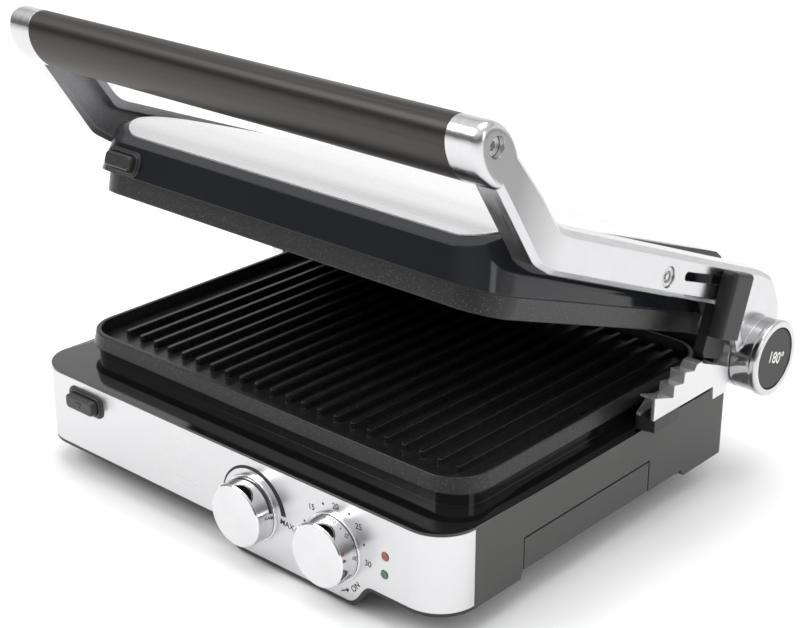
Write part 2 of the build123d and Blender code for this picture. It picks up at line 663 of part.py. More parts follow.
def bracket(side):
    """Chrome hinge bracket; the right one (side=1) carries the stairs."""
    with BuildPart() as b:
        # flange over the shoulder
        with BuildSketch(Plane.XY.offset(71.95)) as flange:
            front = 24.0 if side > 0 else 66.0
            with Locations((side * 154.85, (front + 97.0) / 2)):
                Rectangle(9.1, 97.0 - front)
            if side > 0:
                add(poly([(149.9, 23.5), (157.1, 23.5), (149.9, 44.3)]), mode=Mode.SUBTRACT)
            else:
                fillet(vertex_near(-150.3, front), 8.9)
        extrude(amount=1.5)
        # stairs or slope and the outer cheek
        if side > 0:
            with BuildSketch(Plane.YZ.offset(159.3)):
                add(poly(STAIRS))
            extrude(amount=9.7)
            with BuildSketch(Plane.YZ.offset(167.0)):
                add(poly(CHEEK))
            extrude(amount=2.0)
        else:
            with BuildSketch(Plane.YZ.offset(-169.0)):
                add(poly(SLOPE))
            extrude(amount=9.7)
        # web from the cheek to the neck
        with BuildSketch(Plane.XY.offset(64.6)):
            if side > 0:
                add(poly([(154.0, 94.5), (169.0, 94.5), (169.0, 97.5), (162.7, 108.0), (154.0, 108.0)]))
            else:
                add(poly([(-154.0, 90.5), (-169.0, 90.5), (-169.0, 97.5), (-162.7, 108.0), (-154.0, 108.0)]))
        extrude(amount=8.4)
        with BuildSketch(Plane.YZ.offset(154.0 if side > 0 else -162.7)):
            add(poly(NECK))
        extrude(amount=8.7)
        # knuckle round the pin
        with BuildSketch(Plane.YZ.offset(154.0 if side > 0 else -162.7)):
            with Locations((HY, HZ)):
                Circle(R_KNUCKLE)
        extrude(amount=8.7)
        with BuildSketch(Plane.YZ.offset(side * 160.0 - 12.0)):
            with Locations((HY, HZ)):
                Circle(R_PIN + 0.05)
        extrude(amount=24.0, mode=Mode.SUBTRACT)
    return b.part


keep("right_hinge_bracket", bracket(1))
keep("left_hinge_bracket", bracket(-1))

with BuildPart() as hinge_pins:
    for side in (-1, 1):
        x0 = 150.3 if side > 0 else -171.6
        with BuildSketch(Plane.YZ.offset(x0)):
            with Locations((HY, HZ)):
                Circle(R_PIN)
        extrude(amount=21.3)
        with BuildSketch(Plane.YZ.offset(150.3 if side > 0 else -153.9)):
            with Locations((HY, HZ)):
                Circle(8.0)
        extrude(amount=3.6)
        with BuildSketch(Plane.YZ.offset(170.3 if side > 0 else -171.6)):
            with Locations((HY, HZ)):
                Circle(7.6)
        extrude(amount=1.3)
keep("hinge_pins", hinge_pins.part)

with BuildPart() as hinge_washers:
    for side in (-1, 1):
        with BuildSketch(Plane.YZ.offset(side * 163.05 - 0.2)):
            with Locations((HY, HZ)):
                Circle(15.0)
                Circle(5.15, mode=Mode.SUBTRACT)
        extrude(amount=0.4)
keep("hinge_washers", hinge_washers.part)

# ---------------------------------------------------------------- arms
ARM_TOP = [(-293.6, 93.6), (-250.0, 68.2), (-231.5, 54.8), (-68.1, 49.3), (-21.9, 48.0), (-4.4, 45.0),
           (11.3, 30.0), (16.8, 13.0)]
ARM_LOW = [(-21.0, -1.0), (-44.0, 24.0), (-48.0, 25.5), (-90.7, 27.2), (-230.2, 32.7), (-244.1, 36.1),
           (-302.4, 79.8)]
POCKET = [(-270.5, 77.4), (-251.6, 65.8), (-233.2, 52.5), (-230.1, 51.3), (-137.0, 48.6), (-137.0, 30.1),
          (-224.8, 33.6), (-230.0, 34.3), (-243.4, 38.3), (-263.5, 52.8), (-280.0, 65.1)]


def arm(slotted):
    """Cast arm of the right side with its hinge barrel and the oval cap of the handle."""
    with BuildPart() as a:
        with BuildSketch(arm_yz(X_ARM1)):
            with BuildLine():
                Polyline(*ARM_TOP)
                Polyline(ARM_TOP[-1], (6.0, -14.0), (-14.0, -13.0), ARM_LOW[0])
                Polyline(*ARM_LOW)
                ThreePointArc(ARM_LOW[-1], (-304.9, 91.1), ARM_TOP[0])
            make_face()
            fillet(vertex_near(-231.5, 54.8), 24.0)
            fillet(vertex_near(-230.2, 32.7), 16.0)
            fillet(vertex_near(-244.1, 36.1), 16.0)
            fillet(vertex_near(-4.4, 45.0), 12.0)
            fillet(vertex_near(11.3, 30.0), 12.0)
        extrude(amount=-(X_ARM1 - X_ARM0), taper=-8.0)
        chamfer(a.faces().sort_by(Axis.X)[-1].edges(), 2.6)
        # hinge barrel
        with BuildSketch(arm_yz(X_HUB0)):
            Circle(R_KNUCKLE)
        extrude(amount=(X_HUB1 - X_HUB0))
        with BuildPart(mode=Mode.PRIVATE) as ring:
            with BuildSketch(arm_yz(X_HUB1)):
                Circle(R_RING)
            extrude(amount=-5.0)
            fillet(ring.edges(), 1.5)
        add(ring.part)
        # oval cap over the end of the handle tube
        with BuildPart(mode=Mode.PRIVATE) as cap:
            with BuildSketch(arm_yz(X_ARM1)):
                with Locations(CAP):
                    Ellipse(TUBE_A, TUBE_B, rotation=TUBE_TILT)
            extrude(amount=-(X_ARM1 - X_TUBE - 0.3))
            fillet(cap.faces().sort_by(Axis.X)[-1].edges(), 4.6)
        add(cap.part)
        # the bracket's knuckle stands inside the arm
        with BuildSketch(arm_yz(X_HUB0)):
            Circle(28.0)
            with Locations((14.0, -8.0)):
                Rectangle(60.0, 29.0, rotation=0)
        extrude(amount=-12.0, mode=Mode.SUBTRACT)
        # casting pocket on the inner side
        with BuildSketch(arm_yz((X_ARM0 + 6.4))):
            add(poly(POCKET))
        extrude(amount=-12.0, mode=Mode.SUBTRACT)
        # channel behind the outer wall towards the hinge
        with BuildSketch(arm_yz(167.2)):
            add(poly([(-111.5, -30.0), (-111.5, 43.6), (-30.0, 42.4), (-30.0, -30.0)]))
        extrude(amount=-18.0, mode=Mode.SUBTRACT)
        # bores: hinge pin, retaining ring, button pocket, lid pivot, handle bolt
        with BuildSketch(arm_yz(160.0)):
            Circle(R_PIN + 0.06)
        extrude(amount=14.0, mode=Mode.SUBTRACT)
        with BuildSketch(arm_yz(170.0)):
            Circle(9.0)
        extrude(amount=4.0, mode=Mode.SUBTRACT)
        with BuildSketch(arm_yz(172.2)):
            Circle(18.8)
        extrude(amount=9.0, mode=Mode.SUBTRACT)
        with BuildSketch(arm_yz(150.0)):
            with Locations(PIVOT):
                Circle(4.06)
        extrude(amount=24.0, mode=Mode.SUBTRACT)
        with BuildSketch(arm_yz(165.8)):
            with Locations(PIVOT):
                Circle(5.9)
        extrude(amount=6.0, mode=Mode.SUBTRACT)
        with BuildSketch(arm_yz(145.0)):
            with Locations((-298.0, 86.7)):
                Circle(2.7)
        extrude(amount=26.0, mode=Mode.SUBTRACT)
        with BuildSketch(arm_yz(162.0)):
            with Locations((-298.0, 86.7)):
                Circle(5.25)
        extrude(amount=9.0, mode=Mode.SUBTRACT)
        if slotted:
            # slot the height lever's neck runs in
            with BuildSketch(arm_yz(165.0)):
                with Locations((-74.0, 39.9)):
                    SlotOverall(66.0, 5.0)
            extrude(amount=8.0, mode=Mode.SUBTRACT)
    return a.part


keep("right_arm", arm(True))
keep("left_arm", mirror(arm(False), about=Plane.YZ))

with BuildPart() as handle_tube:
    with BuildSketch(arm_yz(-X_TUBE)):
        with Locations(CAP):
            Ellipse(TUBE_A, TUBE_B, rotation=TUBE_TILT)
            Ellipse(TUBE_A - 1.6, TUBE_B - 1.6, rotation=TUBE_TILT, mode=Mode.SUBTRACT)
    extrude(amount=2 * X_TUBE)
keep("handle_tube", handle_tube.part)

with BuildPart() as handle_rod:
    with BuildSketch(arm_yz(-149.7)):
        with Locations((-298.0, 86.7)):
            Circle(4.0)
    extrude(amount=299.4)
    for side in (-1, 1):
        with BuildSketch(arm_yz(side * 149.8)):
            with Locations((-298.0, 86.7)):
                Circle(2.55)
        extrude(amount=-side * 20.0, mode=Mode.SUBTRACT)
keep("handle_rod", handle_rod.part)

with BuildPart() as handle_bolts:
    for side in (-1, 1):
        with BuildSketch(arm_yz(side * 132.0)):
            with Locations((-298.0, 86.7)):
                Circle(2.5)
        extrude(amount=side * 30.5)
        with BuildSketch(arm_yz(side * 162.1)):
            with Locations((-298.0, 86.7)):
                Circle(5.0)
        extrude(amount=side * 4.6)
        with BuildSketch(arm_yz(side * 164.0)):
            with Locations((-298.0, 86.7)):
                RegularPolygon(2.6, 6)
        extrude(amount=side * 4.0, mode=Mode.SUBTRACT)
keep("handle_bolts", handle_bolts.part)

with BuildPart() as hinge_button_180:
    with BuildSketch(arm_yz(X_HUB1 - 0.5)):
        Circle(18.3)
    extrude(amount=-3.7)
    fillet(hinge_button_180.faces().sort_by(Axis.X)[-1].edges(), 0.6)
    with BuildSketch(arm_yz(X_HUB1 - 4.2)):
        Circle(13.0)
        Circle(11.6, mode=Mode.SUBTRACT)
    extrude(amount=-1.0)
keep("hinge_button_180", hinge_button_180.part)

with BuildPart() as hinge_button_spring:
    with BuildSketch(arm_yz(172.25)):
        Circle(11.0)
        Circle(10.0, mode=Mode.SUBTRACT)
    extrude(amount=4.1)
keep("hinge_button_spring", hinge_button_spring.part)

with BuildPart() as left_hinge_cap:
    with BuildSketch(arm_yz(-X_HUB1 + 0.5)):
        Circle(18.7)
    extrude(amount=3.7)
    fillet(left_hinge_cap.faces().sort_by(Axis.X)[0].edges(), 0.6)
keep("left_hinge_cap", left_hinge_cap.part)

# ---------------------------------------------------------------- height lever
with BuildPart() as height_lever:
    with BuildSketch(arm_yz(160.4)):
        add(poly([(-60.5, -2.0), (-58.0, -5.0), (-40.5, -5.0), (-38.0, -3.0), (-38.0, 41.6), (-60.5, 41.9)]))
    extrude(amount=6.2)
    with BuildSketch(arm_yz(166.0)):
        with Locations((-49.25, 39.9)):
            RectangleRounded(13.5, 4.4, 1.8)
    extrude(amount=4.6)
    with BuildSketch(ARM.offset(8.9)) as grip:
        with Locations((174.85, -58.4)):
            Rectangle(9.5, 24.8)
        fillet(grip.vertices().group_by(Axis.X)[-1], 4.7)
        fillet(grip.vertices().group_by(Axis.X)[0], 3.2)
    extrude(amount=37.7)
    fillet(height_lever.faces().sort_by(Axis(ARM.origin, ARM.z_dir))[-1].edges(), 2.4)
keep("height_lever", height_lever.part)

with BuildPart() as lid_pivot_screws:
    for side in (-1, 1):
        with BuildSketch(arm_yz(side * 146.6)):
            with Locations(PIVOT):
                Circle(4.0)
        extrude(amount=side * 20.0)
        with BuildSketch(arm_yz(side * 166.1)):
            with Locations(PIVOT):
                Circle(5.6)
        extrude(amount=side * 2.6)
        with BuildSketch(arm_yz(side * 167.0)):
            with Locations(PIVOT):
                Circle(3.4)
                RegularPolygon(1.7, 6, mode=Mode.SUBTRACT)
        extrude(amount=side * 3.0, mode=Mode.SUBTRACT)
keep("lid_pivot_screws", lid_pivot_screws.part)

# ---------------------------------------------------------------- lid
LID_F, LID_R, LID_Z = -252.5, -18.3, 16.8
PAN_F, PAN_R = -245.7, -29.1


def crown(y):
    """Height of the domed top panel over the arms' frame."""
    return 53.3 - 13.2 * exp(-(y - PAN_F) / 16.5)


CROWN_Y = [PAN_F, -241.5, -237.0, -232.0, -226.0, -218.0, -208.0, -194.0, -174.0, -140.0, -90.0, PAN_R]


def lid_side(top, inset, z0):
    """Side outline of the lid in (dy, dz): top drops it below the crown, inset thins the ends."""
    pts = [(y, crown(y) - top) for y in CROWN_Y]
    pts[0] = (PAN_F + inset * 0.4, pts[0][1])
    pts[-1] = (PAN_R - inset * 0.3, pts[-1][1])
    with BuildSketch(Plane.XY, mode=Mode.PRIVATE) as s:
        with BuildLine():
            Spline(*pts)
            Polyline(pts[-1], (LID_R - inset, 49.0 - top), (LID_R - inset, z0), (LID_F + inset, z0),
                     (LID_F + inset, 35.8 - top), pts[0])
        make_face()
    return s.sketch


def lid_prism(inset, z0, z1):
    """Drafted lid body in plan between two heights of the arms' frame."""
    with BuildPart(mode=Mode.PRIVATE) as p:
        with BuildSketch(ARM.offset(z0)):
            add(plan(299.0 - 2 * inset, LID_F + inset, LID_R - inset, 24.5 - inset, 6.0 - inset * 0.5))
        with BuildSketch(ARM.offset(z1)):
            add(plan(283.6 - 2 * inset, LID_F + inset, LID_R - inset, 24.5 - inset, 6.0 - inset * 0.5))
        loft(ruled=True)
    return p.part


with BuildPart() as lid_housing:
    with BuildSketch(arm_yz(-152.0)):
        add(lid_side(1.05, 0.0, LID_Z))
    extrude(amount=304.0)
    add(lid_prism(0.0, LID_Z, 53.4), mode=Mode.INTERSECT)
    with BuildPart(mode=Mode.PRIVATE) as cavity:
        with BuildSketch(arm_yz(-150.0)):
            add(lid_side(3.6, 2.6, LID_Z - 1.0))
        extrude(amount=300.0)
        add(lid_prism(2.6, LID_Z - 1.0, 53.4), mode=Mode.INTERSECT)
    add(cavity.part, mode=Mode.SUBTRACT)
    # pivot bosses on both sides
    for side in (-1, 1):
        with BuildSketch(arm_yz(side * 144.0)):
            with Locations(PIVOT):
                Circle(9.0)
        extrude(amount=side * 12.1)
        with BuildSketch(arm_yz(side * 140.0)):
            with Locations(PIVOT):
                Circle(4.02)
        extrude(amount=side * 20.0, mode=Mode.SUBTRACT)
    # opening for the release button
    with BuildSketch(arm_xz(LID_F + 6.0)):
        with Locations((-116.9, 25.0)):
            Rectangle(24.8, 11.0)
    extrude(amount=10.0, mode=Mode.SUBTRACT)
keep("lid_housing", lid_housing.part)

with BuildPart() as lid_top_panel:
    with BuildSketch(arm_yz(-141.6)):
        with BuildLine():
            Spline(*[(y, crown(y)) for y in CROWN_Y])
            Line((PAN_R, crown(PAN_R)), (PAN_R, crown(PAN_R) - 1.0))
            Spline(*[(y, crown(y) - 1.0) for y in reversed(CROWN_Y)])
            Line((PAN_F, crown(PAN_F) - 1.0), (PAN_F, crown(PAN_F)))
        make_face()
    extrude(amount=283.2)
    with BuildPart(mode=Mode.PRIVATE) as panel_plan:
        with BuildSketch(ARM.offset(30.0)):
            add(plan(283.2, PAN_F - 0.0, PAN_R, 24.0, 8.0))
        extrude(amount=30.0)
    add(panel_plan.part, mode=Mode.INTERSECT)
keep("lid_top_panel", lid_top_panel.part)

with BuildPart() as lid_inner_frame:
    with BuildSketch(ARM.offset(16.9)):
        add(plan(291.4, LID_F + 3.1, LID_R - 3.1, 21.0, 3.5))
        add(plan(262.0, -228.0, -38.0, 8.0, 8.0), mode=Mode.SUBTRACT)
        with Locations((-117.0, -236.5)):
            Rectangle(14.0, 15.0, mode=Mode.SUBTRACT)
        with Locations((-117.0, -226.4)):
            Rectangle(18.0, 5.0)
    extrude(amount=2.0)
    with BuildSketch(ARM.offset(18.8)):
        with Locations((-117.0, -225.6)):
            Rectangle(12.0, 2.0)
    extrude(amount=9.5)
keep("lid_inner_frame", lid_inner_frame.part)

with BuildPart() as upper_reflector:
    with BuildSketch(ARM.offset(23.0)):
        add(plan(266.0, -221.0, -40.0, 10.0, 10.0))
    extrude(amount=0.6)
    with BuildSketch(ARM.offset(18.95)):
        add(plan(266.0, -221.0, -40.0, 10.0, 10.0))
        add(plan(264.6, -220.3, -40.7, 9.3, 9.3), mode=Mode.SUBTRACT)
    extrude(amount=4.4)
    with BuildSketch(ARM.offset(22.0)):
        with Locations((-24.0, -52.0), (24.0, -52.0)):
            Circle(3.4)
    extrude(amount=4.0, mode=Mode.SUBTRACT)
keep("upper_reflector", upper_reflector.part)

with BuildPart() as upper_heating_element:
    with BuildLine(ARM.offset(19.8)) as upper_loop:
        FilletPolyline((-24, -52), (-118, -52), (-118, -212), (118, -212), (118, -52), (24, -52), radius=22)
    with BuildSketch(Plane(origin=upper_loop.line @ 0, z_dir=upper_loop.line % 0)):
        Circle(2.4)
    sweep()
    with BuildSketch(ARM.offset(19.8)):
        with Locations((-24, -52), (24, -52)):
            Circle(2.4)
    extrude(amount=14.0)
    for ex in (-24, 24):
        with Locations(ARM.from_local_coords((ex, -52, 19.8))):
            Sphere(2.4)
keep("upper_heating_element", upper_heating_element.part)

with BuildPart() as upper_grill_plate:
    with BuildSketch(ARM.offset(4.5)):
        add(plan(PLATE_W, -244.1, -20.0, R_PLATE, R_PLATE))
    extrude(amount=12.0, taper=-7)
    with BuildSketch(ARM.offset(4.5)):
        add(plan(PLATE_W - 5.6, -241.3, -22.8, R_PLATE - 2.8, R_PLATE - 2.8))
    extrude(amount=7.4, taper=14, mode=Mode.SUBTRACT)
    fillet(upper_grill_plate.faces().sort_by(Axis(ARM.origin, ARM.z_dir))[0].edges(), 0.9)
    with BuildSketch(ARM.offset(12.2)):
        with Locations((0, -132.0)):
            with GridLocations(RIB_PITCH, 1.0, RIB_N, 1):
                SlotOverall(196.2, RIB_W, rotation=90)
    extrude(amount=-4.6, taper=3)
keep("upper_grill_plate", upper_grill_plate.part)

with BuildPart() as upper_plate_lug:
    with BuildSketch(ARM.offset(16.52)):
        with Locations((-117.0, -239.6)):
            Rectangle(10.0, 2.6)
    extrude(amount=4.88)
keep("upper_plate_lug", upper_plate_lug.part)

# ---------------------------------------------------------------- upper release button
with BuildPart() as upper_button_bezel:
    with BuildSketch(arm_xz(LID_F - 0.02)):
        with Locations((-116.9, 24.9)):
            RectangleRounded(28.4, 14.4, 4.8)
        with Locations((-116.9, 25.0)):
            RectangleRounded(22.8, 9.4, 3.2, mode=Mode.SUBTRACT)
    extrude(amount=0.9)
    fillet(upper_button_bezel.faces().sort_by(Axis(ARM.origin, ARM.y_dir))[0].outer_wire().edges(), 0.5)
    with BuildSketch(arm_xz(LID_F - 0.8)):
        with Locations((-116.9, 24.9)):
            RectangleRounded(25.6, 11.8, 4.0)
        with Locations((-116.9, 25.0)):
            RectangleRounded(22.8, 9.4, 3.2, mode=Mode.SUBTRACT)
    extrude(amount=1.1)
    fillet(upper_button_bezel.faces().sort_by(Axis(ARM.origin, ARM.y_dir))[0].outer_wire().edges(), 0.45)
    with BuildSketch(arm_xz(LID_F + 5.0)):
        with Locations((-116.9, 25.0)):
            RectangleRounded(24.4, 10.8, 3.6)
            RectangleRounded(22.8, 9.4, 3.2, mode=Mode.SUBTRACT)
    extrude(amount=5.1)
keep("upper_button_bezel", upper_button_bezel.part)

with BuildPart() as upper_release_button:
    with BuildSketch(arm_xz(LID_F + 6.0)):
        with Locations((-116.9, 25.0)):
            RectangleRounded(22.0, 8.6, 2.8)
    extrude(amount=11.5)
    fillet(upper_release_button.faces().sort_by(Axis(ARM.origin, ARM.y_dir))[0].edges(), 1.2)
keep("upper_release_button", upper_release_button.part)

with BuildPart() as upper_latch:
    with BuildSketch(arm_xz(-235.0)):
        with Locations((-117.0, 25.2)):
            Rectangle(10.0, 5.0)
    extrude(amount=(-235.0) - (LID_F + 6.0))
    with BuildSketch(ARM.offset(17.6)):
        with Locations((-117.0, -236.4)):
            Rectangle(10.0, 2.8)
    extrude(amount=10.0)
keep("upper_latch", upper_latch.part)

with BuildPart() as upper_release_spring:
    with BuildSketch(arm_xz(-226.7)):
        with Locations((-117.0, 24.6)):
            Circle(2.6)
            Circle(1.9, mode=Mode.SUBTRACT)
    extrude(amount=8.1)
keep("upper_release_spring", upper_release_spring.part)

for name, part in parts.items():
    export_step(part, "parts/" + name + ".step")
    print(name, round(part.volume), len(part.solids()))
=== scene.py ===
from math import cos, pi, radians, sin

import bmesh
import bpy
from mathutils import Matrix, Vector


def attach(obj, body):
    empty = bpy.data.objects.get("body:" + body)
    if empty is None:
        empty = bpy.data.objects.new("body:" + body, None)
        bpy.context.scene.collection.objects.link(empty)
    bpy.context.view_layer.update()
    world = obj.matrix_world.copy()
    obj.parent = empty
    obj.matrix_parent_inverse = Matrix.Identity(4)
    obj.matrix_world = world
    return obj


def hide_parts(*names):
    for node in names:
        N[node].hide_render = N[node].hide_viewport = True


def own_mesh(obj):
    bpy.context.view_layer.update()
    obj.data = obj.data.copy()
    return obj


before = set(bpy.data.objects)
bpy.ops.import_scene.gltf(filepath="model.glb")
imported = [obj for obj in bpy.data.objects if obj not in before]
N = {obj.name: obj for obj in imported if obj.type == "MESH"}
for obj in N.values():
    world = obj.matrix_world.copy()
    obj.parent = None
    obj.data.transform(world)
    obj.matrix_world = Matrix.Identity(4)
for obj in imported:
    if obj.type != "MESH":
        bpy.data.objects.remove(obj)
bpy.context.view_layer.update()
scene = bpy.context.scene

# ---------------------------------------------------------------- camera
AZ, EL, ROLL = 0.727631876, 0.400720063, 0.00244744
fwd = Vector((-sin(AZ) * cos(EL), cos(AZ) * cos(EL), -sin(EL)))
right = Vector((cos(AZ), sin(AZ), 0.0))
up = right.cross(fwd)
r2 = cos(ROLL) * right + sin(ROLL) * up
u2 = -sin(ROLL) * right + cos(ROLL) * up
cam_data = bpy.data.cameras.new("camera")
cam_data.lens = 77.01
cam_data.sensor_width = 36.0
cam_data.sensor_fit = "HORIZONTAL"
cam_data.clip_start = 0.01
cam = bpy.data.objects.new("camera", cam_data)
scene.collection.objects.link(cam)
cam.matrix_world = Matrix(((r2.x, u2.x, -fwd.x, 0.61824), (r2.y, u2.y, -fwd.y, -0.68787),
                           (r2.z, u2.z, -fwd.z, 0.48629), (0, 0, 0, 1)))
scene.camera = cam

# ---------------------------------------------------------------- places
MM = 0.001
HY, HZ, OPEN = 0.13015, 0.07667, radians(20.0)
YF = -0.13985


def arm_point(x, dy, dz):
    """Point of the arms' own frame (mm) in the row frame (m)."""
    return Vector((x * MM, HY + (dy * cos(OPEN) + dz * sin(OPEN)) * MM, HZ + (-dy * sin(OPEN) + dz * cos(OPEN)) * MM))


ARM_Y = Vector((0, cos(OPEN), -sin(OPEN)))
ARM_Z = Vector((0, sin(OPEN), cos(OPEN)))


# ---------------------------------------------------------------- material kit
class Mat:
    """A small wrapper round one node tree."""

    def __init__(self, name):
        self.m = bpy.data.materials.new(name)
        self.m.use_nodes = True
        self.t = self.m.node_tree
        self.b = self.t.nodes["Principled BSDF"]
        self.co = self.n("ShaderNodeTexCoord").outputs["Object"]

    def n(self, kind, **props):
        node = self.t.nodes.new(kind)
        for k, v in props.items():
            setattr(node, k, v)
        return node

    def link(self, a, b):
        self.t.links.new(a, b)

    def put(self, **values):
        for k, v in values.items():
            s = self.b.inputs[k.replace("_", " ")]
            if hasattr(v, "is_linked") or isinstance(v, bpy.types.NodeSocket):
                self.link(v, s)
            else:
                s.default_value = v
        return self

    def scaled(self, sx, sy, sz, vec=None):
        node = self.n("ShaderNodeVectorMath", operation="MULTIPLY")
        self.link(vec or self.co, node.inputs[0])
        node.inputs[1].default_value = (sx, sy, sz)
        return node.outputs[0]

    def noise(self, scale, detail=2.0, rough=0.5, vec=None):
        node = self.n("ShaderNodeTexNoise")
        self.link(vec or self.co, node.inputs["Vector"])
        node.inputs["Scale"].default_value = scale
        node.inputs["Detail"].default_value = detail
        node.inputs["Roughness"].default_value = rough
        return node.outputs["Fac"]

    def voronoi(self, scale, feature="F1", vec=None):
        node = self.n("ShaderNodeTexVoronoi", feature=feature)
        self.link(vec or self.co, node.inputs["Vector"])
        node.inputs["Scale"].default_value = scale
        return node.outputs["Distance"]

    def ramp(self, fac, *stops):
        node = self.n("ShaderNodeValToRGB")
        self.link(fac, node.inputs[0])
        e = node.color_ramp.elements
        while len(e) < len(stops):
            e.new(0.5)
        for i, (p, c) in enumerate(stops):
            e[i].position = p
            e[i].color = (*c, 1.0) if isinstance(c, tuple) else (c, c, c, 1.0)
        return node.outputs["Color"]

    def remap(self, fac, a, b, c, d):
        node = self.n("ShaderNodeMapRange")
        self.link(fac, node.inputs["Value"])
        for k, v in zip(("From Min", "From Max", "To Min", "To Max"), (a, b, c, d)):
            node.inputs[k].default_value = v
        return node.outputs["Result"]

    def math(self, op, a, b=None, c=None):
        node = self.n("ShaderNodeMath", operation=op)
        for i, v in enumerate((a, b, c)):
            if v is None:
                continue
            if isinstance(v, bpy.types.NodeSocket):
                self.link(v, node.inputs[i])
            else:
                node.inputs[i].default_value = v
        return node.outputs[0]

    def mix(self, fac, a, b):
        node = self.n("ShaderNodeMix", data_type="RGBA")
        for sock, v in ((node.inputs[0], fac), (node.inputs[6], a), (node.inputs[7], b)):
            if isinstance(v, bpy.types.NodeSocket):
                self.link(v, sock)
            elif isinstance(v, tuple):
                sock.default_value = (*v, 1.0)
            else:
                sock.default_value = v
        return node.outputs[2]

    def bevel(self, radius):
        node = self.n("ShaderNodeBevel", samples=4)
        node.inputs["Radius"].default_value = radius
        return node.outputs["Normal"]

    def bump(self, height, strength, distance, normal=None):
        node = self.n("ShaderNodeBump")
        self.link(height, node.inputs["Height"])
        node.inputs["Strength"].default_value = strength
        node.inputs["Distance"].default_value = distance
        if normal is not None:
            self.link(normal, node.inputs["Normal"])
        return node.outputs["Normal"]

    def xyz(self, vec=None):
        node = self.n("ShaderNodeSeparateXYZ")
        self.link(vec or self.co, node.inputs[0])
        return node.outputs


def brushed(name, base, rough, along, anis=0.5, lines=0.05, bevel=0.0004, spread=0.05):
    """Rolled or brushed metal; along is the axis the lines run on."""
    m = Mat(name)
    s = [900.0, 900.0, 900.0]
    s[along] = 6.0
    grain = m.noise(1.0, 3.0, 0.6, m.scaled(*s))
    cloud = m.noise(9.0, 2.0, 0.5)
    both = m.math("ADD", m.math("MULTIPLY", grain, 0.6), m.math("MULTIPLY", cloud, 0.4))
    dark = tuple(c * (1.0 - spread) for c in base)
    m.put(Base_Color=m.mix(both, dark, base), Metallic=1.0, Roughness=m.remap(both, 0.3, 0.7, rough * 0.85, rough * 1.15),
          Anisotropic=anis)
    m.put(Normal=m.bump(grain, lines, 0.0002, m.bevel(bevel)))
    return m.m


def plastic(name, base, rough, grain=900.0, depth=0.08, coat=0.0, bevel=0.0006, spec=0.5, vary=0.25):
    """Moulded plastic with a fine texture and faint handling marks."""
    m = Mat(name)
    fine = m.noise(grain, 3.0, 0.6)
    wide = m.noise(14.0, 4.0, 0.6)
    light = tuple(min(1.0, c * (1.0 + vary)) for c in base)
    m.put(Base_Color=m.mix(wide, base, light), Roughness=m.remap(wide, 0.3, 0.7, rough * 0.9, rough * 1.12))
    m.b.inputs["Specular IOR Level"].default_value = spec
    m.b.inputs["Coat Weight"].default_value = coat
    m.b.inputs["Coat Roughness"].default_value = 0.06
    m.put(Normal=m.bump(fine, depth, 0.0001, m.bevel(bevel)))
    return m.m


# stainless sheet of the fascia and the lid's top
steel_front = brushed("steel_front", (0.68, 0.68, 0.69), 0.30, 0, anis=0.45)
steel_lid = brushed("steel_lid", (0.84, 0.84, 0.85), 0.27, 0, anis=0.3, lines=0.012, spread=0.03)
steel_inner = brushed("steel_inner", (0.62, 0.62, 0.62), 0.38, 0, anis=0.2, lines=0.08)
housing = plastic("housing_satin", (0.036, 0.035, 0.034), 0.42, depth=0.12)
trim_black = plastic("trim_black", (0.012, 0.012, 0.012), 0.4)
cover_black = plastic("cover_black", (0.02, 0.02, 0.02), 0.5, depth=0.15)
button_black = plastic("button_black", (0.022, 0.022, 0.023), 0.36, depth=0.06)
lever_black = plastic("lever_black", (0.013, 0.013, 0.0137), 0.38, depth=0.08, bevel=0.0008, spec=0.26)
disc_grey = plastic("disc_grey", (0.030, 0.028, 0.027), 0.40, depth=0.05, spec=0.22)
deck_gloss = plastic("deck_gloss", (0.006, 0.006, 0.0065), 0.09, grain=240.0, depth=0.006, coat=0.45, bevel=0.0007)
white_ceramic = plastic("white_ceramic", (0.72, 0.70, 0.64), 0.5)
ink = plastic("dial_ink", (0.018, 0.018, 0.019), 0.5, depth=0.02, spec=0.3)
ink_white = plastic("disc_ink", (0.82, 0.82, 0.80), 0.5, depth=0.02)

# lid shell: dark bluish black with a soft sheen
m = Mat("lid_gloss")
wide = m.noise(11.0, 3.0, 0.5)
m.put(Base_Color=m.mix(wide, (0.009, 0.0095, 0.012), (0.014, 0.015, 0.0185)), Roughness=m.remap(wide, 0.3, 0.7, 0.09, 0.13))
m.b.inputs["Specular IOR Level"].default_value = 0.36
m.put(Normal=m.bump(m.noise(500.0, 2.0, 0.5), 0.01, 0.0001, m.bevel(0.0014)))
lid_gloss = m.m

# non-stick coating: charcoal with fine pale specks
m = Mat("nonstick")
speck = m.voronoi(900.0)
grit = m.noise(1400.0, 2.0, 0.6)
wide = m.noise(20.0, 3.0, 0.5)
base = m.mix(wide, (0.009, 0.009, 0.0097), (0.015, 0.015, 0.0158))
fleck = m.math("MULTIPLY", m.math("LESS_THAN", speck, 0.26), m.remap(grit, 0.45, 0.6, 0.0, 1.0))
m.put(Base_Color=m.mix(m.math("MULTIPLY", fleck, 0.5), base, (0.22, 0.22, 0.225)),
      Roughness=m.remap(grit, 0.3, 0.7, 0.27, 0.38))
m.b.inputs["Specular IOR Level"].default_value = 0.42
m.put(Normal=m.bump(grit, 0.25, 0.00012, m.bevel(0.0005)))
nonstick = m.m

# chrome of the brackets
m = Mat("bracket_chrome")
wide = m.noise(30.0, 3.0, 0.5)
m.put(Base_Color=m.mix(wide, (0.64, 0.64, 0.65), (0.76, 0.76, 0.77)), Metallic=0.78,
      Roughness=m.remap(wide, 0.3, 0.7, 0.16, 0.26))
m.put(Normal=m.bump(m.noise(220.0, 2.0, 0.5), 0.02, 0.0002, m.bevel(0.0004)))
bracket_chrome = m.m

